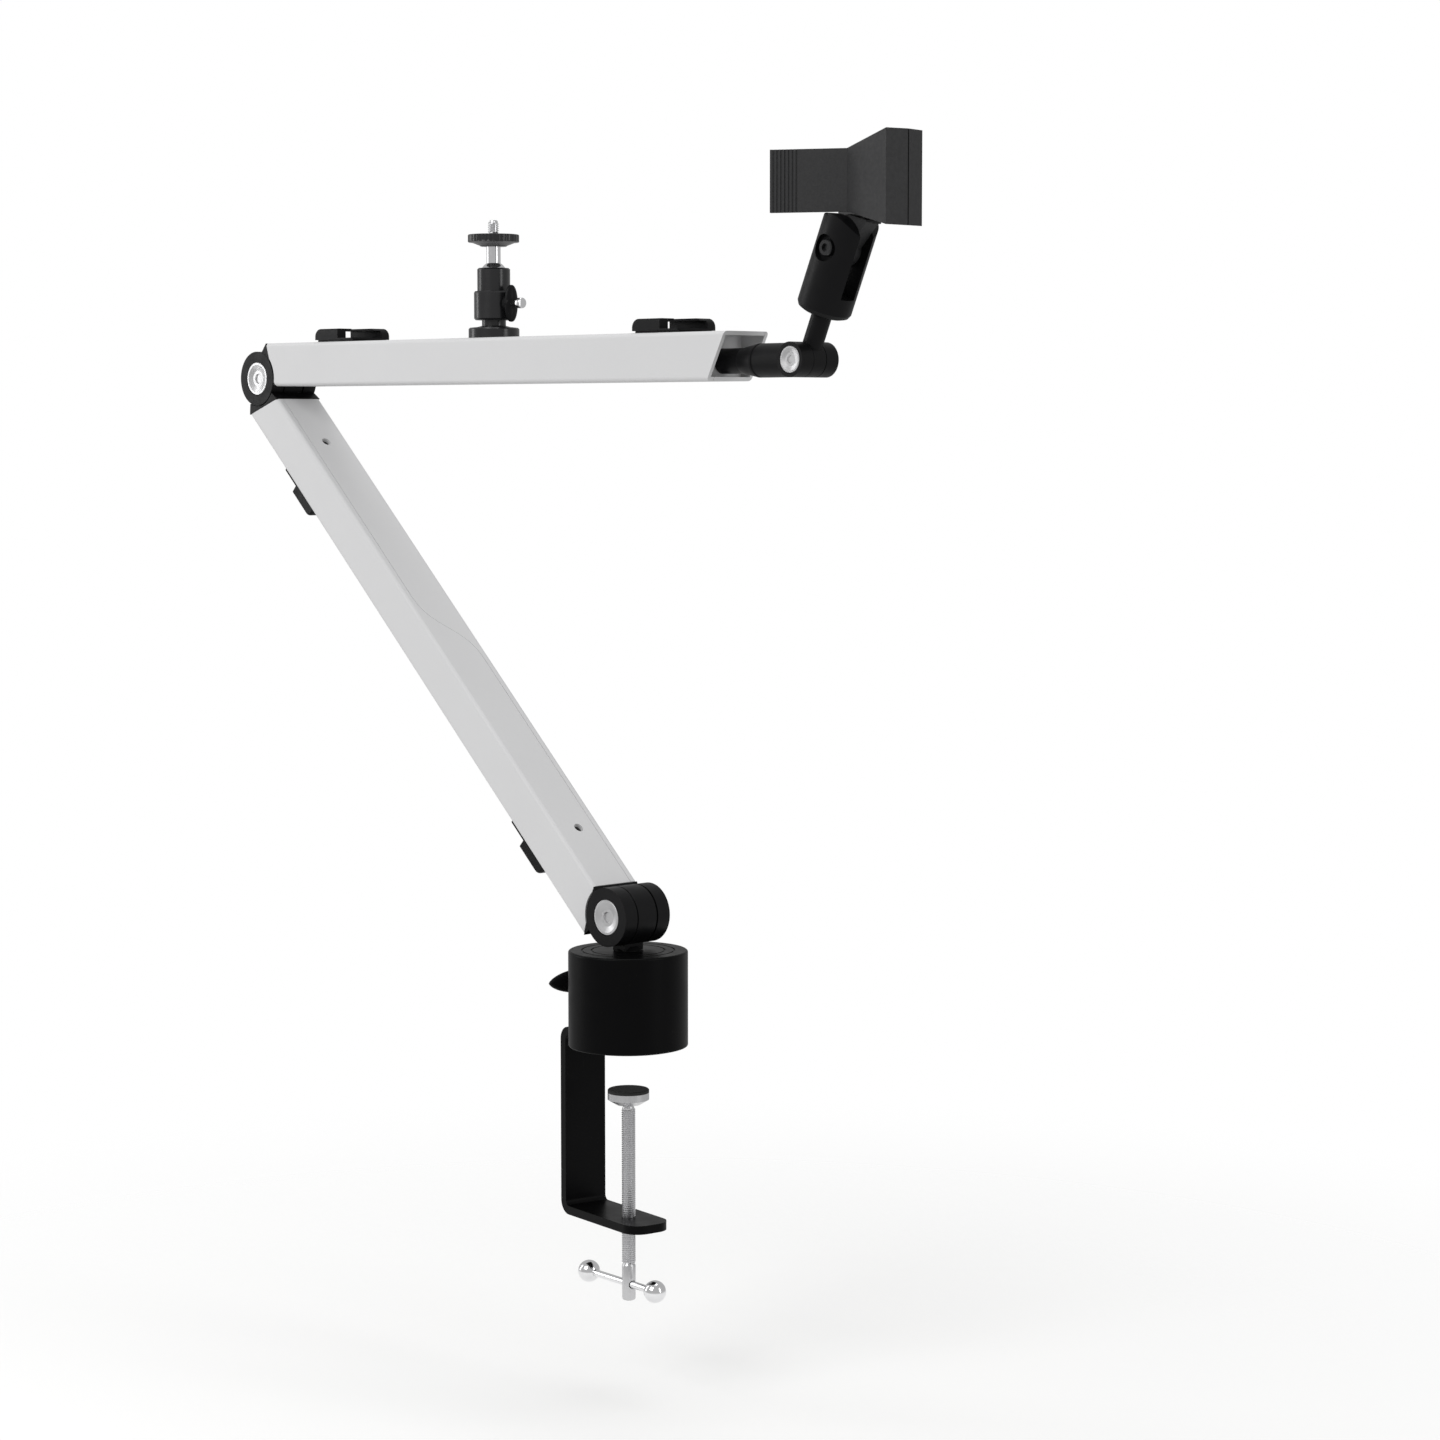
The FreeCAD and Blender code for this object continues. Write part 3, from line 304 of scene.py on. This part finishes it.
def turned_metal(name, colour, roughness, centre, axis):
    """Face turned on a lathe: concentric tool marks about the pin's own axis."""
    made = Finish(name, colour, roughness, metallic=1.0)
    marks = made.rings(centre, axis, 0.45 * MM)
    made.vary_colour(made.noise(6 * MM), 0.04)
    made.vary_roughness(marks, 0.07)
    made.add_bump(marks, 0.010 * MM)
    return made.add_bump(made.noise(0.6 * MM), 0.004 * MM).material


def cast(name, colour, roughness):
    made = Finish(name, colour, roughness, metallic=0.85)
    made.vary_colour(made.noise(8 * MM, 5.0), 0.16)
    made.vary_roughness(made.noise(2 * MM, 5.0), 0.1)
    return made.add_bump(made.noise(0.9 * MM, 5.0), 0.08 * MM).material


def rubbery(name, colour):
    made = Finish(name, colour, 0.78, specular=0.3)
    made.vary_colour(made.noise(7 * MM, 4.0), 0.14)
    made.vary_roughness(made.noise(1.4 * MM, 4.0), 0.08)
    return made.add_bump(made.noise(0.5 * MM, 4.0), 0.03 * MM).material


def printed_grain(name, colour):
    """The holder's plastic: a coarse grain over faint upright flow lines."""
    made = Finish(name, colour, 0.56, specular=0.32)
    made.vary_colour(made.noise(1.1 * MM, 4.0), 0.22)
    made.vary_roughness(made.noise(2.2 * MM, 4.0), 0.07)
    made.add_bump(made.noise(0.55 * MM, 4.0), 0.045 * MM)
    return made.add_bump(made.noise(0.9 * MM, 2.0, (1, 1, 40)), 0.012 * MM).material


def slot_materials():
    return {
        "white_paint": painted("white_paint", (0.66, 0.66, 0.665), 0.46, 0.34, 0.010 * MM),
        "black_paint": painted("black_paint", (0.0016, 0.0016, 0.0018), 0.36, 0.07, 0.008 * MM),
        "black_plastic": moulded("black_plastic", (0.0045, 0.0045, 0.0050), 0.42, 0.14,
                                 0.45 * MM, 0.012 * MM),
        "holder_plastic": printed_grain("holder_plastic", (0.023, 0.023, 0.024)),
        "zinc_core": cast("zinc_core", (0.32, 0.32, 0.33), 0.5),
        "steel": drawn("steel", (0.60, 0.60, 0.61), 0.30, (1, 1, 30)),
        "bright_steel": plated("bright_steel", (0.80, 0.80, 0.81), 0.12),
        "aluminium": plated("aluminium", (0.88, 0.88, 0.885), 0.22),
        "black_metal": painted("black_metal", (0.010, 0.010, 0.011), 0.24, 0.5, 0.005 * MM),
        "brass": plated("brass", (0.72, 0.50, 0.22), 0.25),
        "nylon": moulded("nylon", (0.78, 0.76, 0.70), 0.45, 0.4, 0.8 * MM, 0.01 * MM),
        "rubber": rubbery("rubber", (0.016, 0.016, 0.016)),
    }


def paint(obj, material):
    obj.data.materials.clear()
    obj.data.materials.append(material)


def paint_cad_nodes(materials):
    for node, obj in frame["nodes"].items():
        paint(obj, materials[slot_of[node]])
    heads = (("shoulder_pin", "shoulder"), ("shoulder_nut", "shoulder"), ("elbow_pin", "elbow"),
             ("elbow_nut", "elbow"), ("wrist_pin", "wrist_hinge"), ("wrist_nut", "wrist_hinge"))
    for node, joint in heads:
        paint(frame["nodes"][node],
              turned_metal("turned_" + node, PIN_GREY, PIN_ROUGHNESS, joint_at[joint], "Y"))


# ---- mesh helpers ----
def axes_about(axis):
    """Two unit vectors at right angles to axis and to each other."""
    axis = axis.normalized()
    side = axis.cross(Z if abs(axis.z) < 0.9 else X).normalized()
    return side, axis.cross(side)


def ring(centre, axis, radius, steps):
    side, up = axes_about(axis)
    turns = [2 * math.pi * i / steps for i in range(steps)]
    return [centre + side * (radius * math.cos(a)) + up * (radius * math.sin(a)) for a in turns]


def skin(bm, rings, capped=True):
    """Joins rings of points into a closed surface."""
    rows = [[bm.verts.new(p) for p in points] for points in rings]
    steps = len(rows[0])
    for low, high in zip(rows, rows[1:]):
        for i in range(steps):
            k = (i + 1) % steps
            bm.faces.new((low[i], low[k], high[k], high[i]))
    if capped:
        bm.faces.new(rows[0][::-1])
        bm.faces.new(rows[-1])


def tidy(bm):
    bmesh.ops.remove_doubles(bm, verts=bm.verts, dist=MERGE)
    bmesh.ops.dissolve_degenerate(bm, edges=bm.edges, dist=MERGE)
    bmesh.ops.recalc_face_normals(bm, faces=bm.faces)


def piece(name, bm, material, slot, body, *replaced):
    """Finished object from a bmesh, riding on a body and standing for the CAD nodes named."""
    tidy(bm)
    mesh = bpy.data.meshes.new(name)
    bm.to_mesh(mesh)
    bm.free()
    mesh.shade_smooth()
    mesh.set_sharp_from_angle(angle=SHARP)
    obj = bpy.data.objects.new(name, mesh)
    bpy.context.scene.collection.objects.link(obj)
    paint(obj, material)
    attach(obj, body)
    if replaced:
        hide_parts(*replaced)
    return obj


def lathe(bm, profile, base, axis, steps=72):
    """Turned solid: profile is (radius, height) points in millimetres from base along axis."""
    tiny = 0.02
    rings = [ring(base + axis * (h * MM), axis, max(r, tiny) * MM, steps) for r, h in profile]
    skin(bm, rings)


def arc(centre, radius, start, end, steps):
    """(radius, height) points of an arc, angles in degrees from the outward direction."""
    turns = [math.radians(start + (end - start) * i / steps) for i in range(steps + 1)]
    return [(centre[0] + radius * math.cos(a), centre[1] + radius * math.sin(a)) for a in turns]


def thread(bm, base, axis, low, high, root, crest, pitch, steps=48):
    """Helical V thread with flats from height low to high, in millimetres, faded out at both ends."""
    side, up = axes_about(axis)
    shape = ((0.0, 0), (0.14, 0), (0.44, 1), (0.70, 1))
    turns = int((high - low) / pitch) + 2
    fade = 0.8 * pitch
    rows = []
    for turn in range(-1, turns):
        for share, depth in shape:
            row = []
            for i in range(steps + 1):
                angle = 2 * math.pi * i / steps
                h = low + (turn + share + i / steps) * pitch
                near = min(h - low, high - h)
                r = root + (crest - root) * depth * min(1.0, max(0.0, near / fade))
                h = min(high, max(low, h))
                spot = side * math.cos(angle) + up * math.sin(angle)
                row.append(bm.verts.new(base + spot * (r * MM) + axis * (h * MM)))
            rows.append(row)
    for a, b in zip(rows, rows[1:]):
        for i in range(steps):
            bm.faces.new((a[i], a[i + 1], b[i + 1], b[i]))


def tube(bm, points, radius, sides=12):
    """Round wire along points, with ends closed."""
    rings = []
    for i, spot in enumerate(points):
        before, after = points[max(0, i - 1)], points[min(len(points) - 1, i + 1)]
        way = (after - before).normalized()
        if i == 0:
            side = axes_about(way)[0]
        side = (side - way * side.dot(way)).normalized()
        up = way.cross(side)
        turns = [2 * math.pi * k / sides for k in range(sides)]
        rings.append([spot + side * (radius * math.cos(a)) + up * (radius * math.sin(a)) for a in turns])
    skin(bm, rings)


def leaf(bm, centre, along, thick_way, length, height, thickness, pointed, steps=40, sides=40):
    """Wing of a knob: a long lens section, ridged along its edges and drawn in to its tips."""
    across = along.cross(thick_way).normalized()
    rings = []
    for i in range(steps + 1):
        s = -math.cos(math.pi * i / steps)
        share = max(0.0, 1.0 - s * s)
        h = height * max(0.02, share ** pointed)
        d = thickness * max(0.02, share ** (pointed * 0.6))
        spots = []
        for k in range(sides):
            a = 2 * math.pi * k / sides
            c, w = math.cos(a), math.sin(a)
            x = math.copysign(abs(c) ** 1.15, c) * d
            y = math.copysign(abs(w) ** 1.15, w) * h
            spots.append(centre + along * (s * length * MM) + thick_way * (x * MM) + across * (y * MM))
        rings.append(spots)
    skin(bm, rings)


def cut_hole(obj, centre, axis, radius, half):
    """Cross hole through a turned piece."""
    bm = bmesh.new()
    skin(bm, [ring(centre - axis * half, axis, radius, 48), ring(centre + axis * half, axis, radius, 48)])
    tidy(bm)
    mesh = bpy.data.meshes.new("drill")
    bm.to_mesh(mesh)
    bm.free()
    drill = bpy.data.objects.new("drill", mesh)
    bpy.context.scene.collection.objects.link(drill)
    cut = obj.modifiers.new("cross_hole", "BOOLEAN")
    cut.object = drill
    cut.operation = "DIFFERENCE"
    cut.solver = "EXACT"
    bpy.context.view_layer.update()
    made = bpy.data.meshes.new_from_object(obj.evaluated_get(bpy.context.evaluated_depsgraph_get()))
    obj.modifiers.clear()
    obj.data = made
    made.shade_smooth()
    made.set_sharp_from_angle(angle=SHARP)
    bpy.data.objects.remove(drill)


# ---- pieces ----
def make_clamp_screw(materials):
    """M8 screw: nose that holds the pad, rolled thread, plain shank with the bar's cross hole."""
    low, high = (corner.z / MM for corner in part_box("clamp_screw"))
    bar_low, bar_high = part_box("tommy_bar")
    bar = (bar_low + bar_high) / 2
    thread_low = low + 21.5
    thread_high = high - 7.8
    root, crest, pitch = M8_THREAD
    origin = Vector((0, 0, 0))
    bm = bmesh.new()
    shank = [(0, low), (2.9, low), (3.4, low + 0.25), (3.8, low + 0.7), (3.95, low + 1.4)]
    shank += [(3.95, thread_low - 1.2), (3.8, thread_low - 0.7), (root, thread_low)]
    nose = [(root, thread_high), (3.2, thread_high + 0.6), (3.2, high - 0.4), (2.2, high), (0, high)]
    lathe(bm, shank, origin, Z, 48)
    lathe(bm, nose, origin, Z, 48)
    thread(bm, origin, Z, thread_low, thread_high, root, crest, pitch)
    drop_inner_caps(bm, (thread_low, thread_high))
    made = piece("threaded_clamp_screw", bm, materials["steel"], "steel", "clamp_spindle", "clamp_screw")
    way = joint_axis["tommy_bar_slide"]
    cut_hole(made, Vector((0, 0, bar.z)), way, BAR_HOLE, 8 * MM)


def drop_inner_caps(bm, heights):
    """Deletes the large flat caps left where a turned part meets a thread at these heights."""
    gone = []
    for face in bm.faces:
        z = [v.co.z / MM for v in face.verts]
        if len(face.verts) > 20 and max(z) - min(z) < 0.01 and any(abs(z[0] - h) < 0.01 for h in heights):
            gone.append(face)
    bmesh.ops.delete(bm, geom=gone, context="FACES_ONLY")


def make_camera_stud(materials):
    """1/4 inch camera thread on a plain neck."""
    low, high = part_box("camera_stud")
    base = Vector(((low.x + high.x) / 2, (low.y + high.y) / 2, 0))
    bottom, top = low.z / MM, high.z / MM
    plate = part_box("camera_plate")[1].z / MM
    root, crest, pitch = CAMERA_THREAD
    thread_low, thread_high = plate + 0.5, top - 0.7
    bm = bmesh.new()
    neck = [(0, bottom), (STUD_NECK, bottom), (STUD_NECK, thread_low - 0.3), (root, thread_low)]
    lathe(bm, neck, base, Z, 48)
    lathe(bm, [(root, thread_high), (2.3, top - 0.2), (1.9, top), (0, top)], base, Z, 48)
    thread(bm, base, Z, thread_low, thread_high, root, crest, pitch)
    drop_inner_caps(bm, (thread_low, thread_high))
    piece("threaded_camera_stud", bm, materials["bright_steel"], "bright_steel", "camera_head", "camera_stud")


def make_camera_plate(materials):
    """Plate with a dished underside, a knurled rim and a ribbed rubber face."""
    low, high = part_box("camera_plate")
    base = Vector(((low.x + high.x) / 2, (low.y + high.y) / 2, low.z))
    tall = (high.z - low.z) / MM
    rim = (high.x - low.x) / 2 / MM
    steps = 144
    bm = bmesh.new()
    profile = [(3.3, 0), (7.4, 0)] + arc((7.4, 0.6), 0.6, -90, -20, 3) + [(12.9, 2.3), (14.3, 2.4)]
    profile += arc((rim - 0.5, 2.9), 0.5, -90, 0, 4)
    profile += [(rim, 3.3), (rim, tall - 0.9)] + arc((rim - 0.6, tall - 0.6), 0.6, 0, 90, 4)
    profile += [(13.2, tall), (13.2, tall - 0.7), (3.3, tall - 0.7)]
    rings = []
    for r, h in profile:
        spots = ring(base + Z * (h * MM), Z, r * MM, steps)
        if r > rim - 0.01:
            notch = 0.22 * MM
            centre = base + Z * (h * MM)
            spots = [p if i % 4 < 2 else p + (centre - p).normalized() * notch for i, p in enumerate(spots)]
        rings.append(spots)
    skin(bm, rings + rings[:1], capped=False)
    piece("camera_mount_plate", bm, materials["black_metal"], "black_metal", "camera_head", "camera_plate")
    bm = bmesh.new()
    face = tall - 0.7
    ribs = [(3.6, face - 0.1), (3.6, face + 0.45)]
    for index in range(6):
        inner = 4.2 + index * 1.42
        ribs += [(inner, face + 0.45), (inner + 0.2, face + 0.7)]
        ribs += [(inner + 0.8, face + 0.7), (inner + 1.0, face + 0.45)]
    ribs += [(13.0, face + 0.45), (13.0, face - 0.1)]
    rings = [ring(base + Z * (h * MM), Z, r * MM, 96) for r, h in ribs]
    skin(bm, rings + rings[:1], capped=False)
    piece("camera_plate_rubber", bm, materials["rubber"], "rubber", "camera_head")


def make_jaw_spring(materials):
    """Torsion spring about the jaw pin: four and a half turns and a leg along each handle."""
    low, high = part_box("jaw_spring")
    centre = joint_at["jaw_open"]
    wire = 0.5 * MM
    coil = 3.3 * MM
    turns = 4.5
    rise = (high.z - low.z) - 2.2 * wire
    leg = 17.0 * MM
    splay = math.radians(30)
    steps = 160
    points = []
    start_angle = math.radians(120)
    for i in range(steps + 1):
        share = i / steps
        angle = start_angle + 2 * math.pi * turns * share
        spot = Vector((math.cos(angle), math.sin(angle), 0)) * coil
        points.append(centre + spot + Z * (rise * (share - 0.5)))
    lower_way = Vector((-math.cos(splay), math.sin(splay), 0))
    upper_way = Vector((-math.cos(splay), -math.sin(splay), 0))
    first = [points[0] + lower_way * (leg * k / 6) for k in range(6, 0, -1)]
    last = [points[-1] + upper_way * (leg * k / 6) for k in range(1, 7)]
    bm = bmesh.new()
    tube(bm, first + points + last, wire)
    piece("jaw_torsion_spring", bm, materials["steel"], "steel", "holder", "jaw_spring")


def make_lock_knob(materials):
    """Wing knob of the base's swivel lock: a leaf-shaped wing through a turned hub."""
    axis = joint_axis["lock_knob_turn"]
    foot = axis * (axis.dot(joint_at["lock_knob_turn"]))
    foot.z = joint_at["lock_knob_turn"].z
    span = Z.cross(axis).normalized()
    bm = bmesh.new()
    hub = [(3.1, -2.4), (5.6, -2.4), (6.2, -1.8), (7.3, 1.0)] + arc((6.4, 8.3), 1.2, 0, 80, 5)
    hub += [(5.2, 10.2), (4.2, 10.4), (0, 10.4)]
    lathe(bm, [(0, -2.4)] + hub, foot, axis, 64)
    leaf(bm, foot + axis * (6.0 * MM), span, axis, *LOCK_WING)
    piece("lock_wing_knob", bm, materials["black_plastic"], "black_plastic", "lock_handle", "lock_knob")


def make_ball_lock(materials):
    """Small wing knob of the ball head and its bright screw with a tapered neck and round head."""
    axis = joint_axis["ball_lock_turn"]
    low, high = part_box("ball_lock_screw")
    foot = Vector((low.x, (low.y + high.y) / 2, joint_at["ball_lock_turn"].z))
    length = (high.x - low.x) / MM
    bm = bmesh.new()
    hub = [(0, 6.9), (4.0, 6.9), (4.9, 7.9), (4.9, 11.0), (4.3, 12.0), (2.2, 12.2), (0, 12.2)]
    lathe(bm, hub, foot, axis, 56)
    leaf(bm, foot + axis * (10.6 * MM), Z, axis, *BALL_WING)
    piece("ball_wing_knob", bm, materials["black_plastic"], "black_plastic", "ball_lock", "ball_lock_knob")
    bm = bmesh.new()
    profile = [(0, 0), (1.6, 0), (2.0, 0.4), (2.0, 7.0), (1.5, 12.4), (2.4, 17.0)]
    profile += arc((2.4, 17.9), 0.7, -80, 0, 4) + arc((2.4, length - 0.7), 0.7, 0, 70, 4)
    profile += [(1.2, length - 0.05), (0, length)]
    lathe(bm, profile, foot, axis, 48)
    piece("ball_lock_bolt", bm, materials["bright_steel"], "bright_steel", "ball_lock", "ball_lock_screw")


def make_pieces(materials):
    make_clamp_screw(materials)
    make_camera_stud(materials)
    make_camera_plate(materials)
    make_jaw_spring(materials)
    make_lock_knob(materials)
    make_ball_lock(materials)


set_stage()
all_materials = slot_materials()
paint_cad_nodes(all_materials)
make_pieces(all_materials)
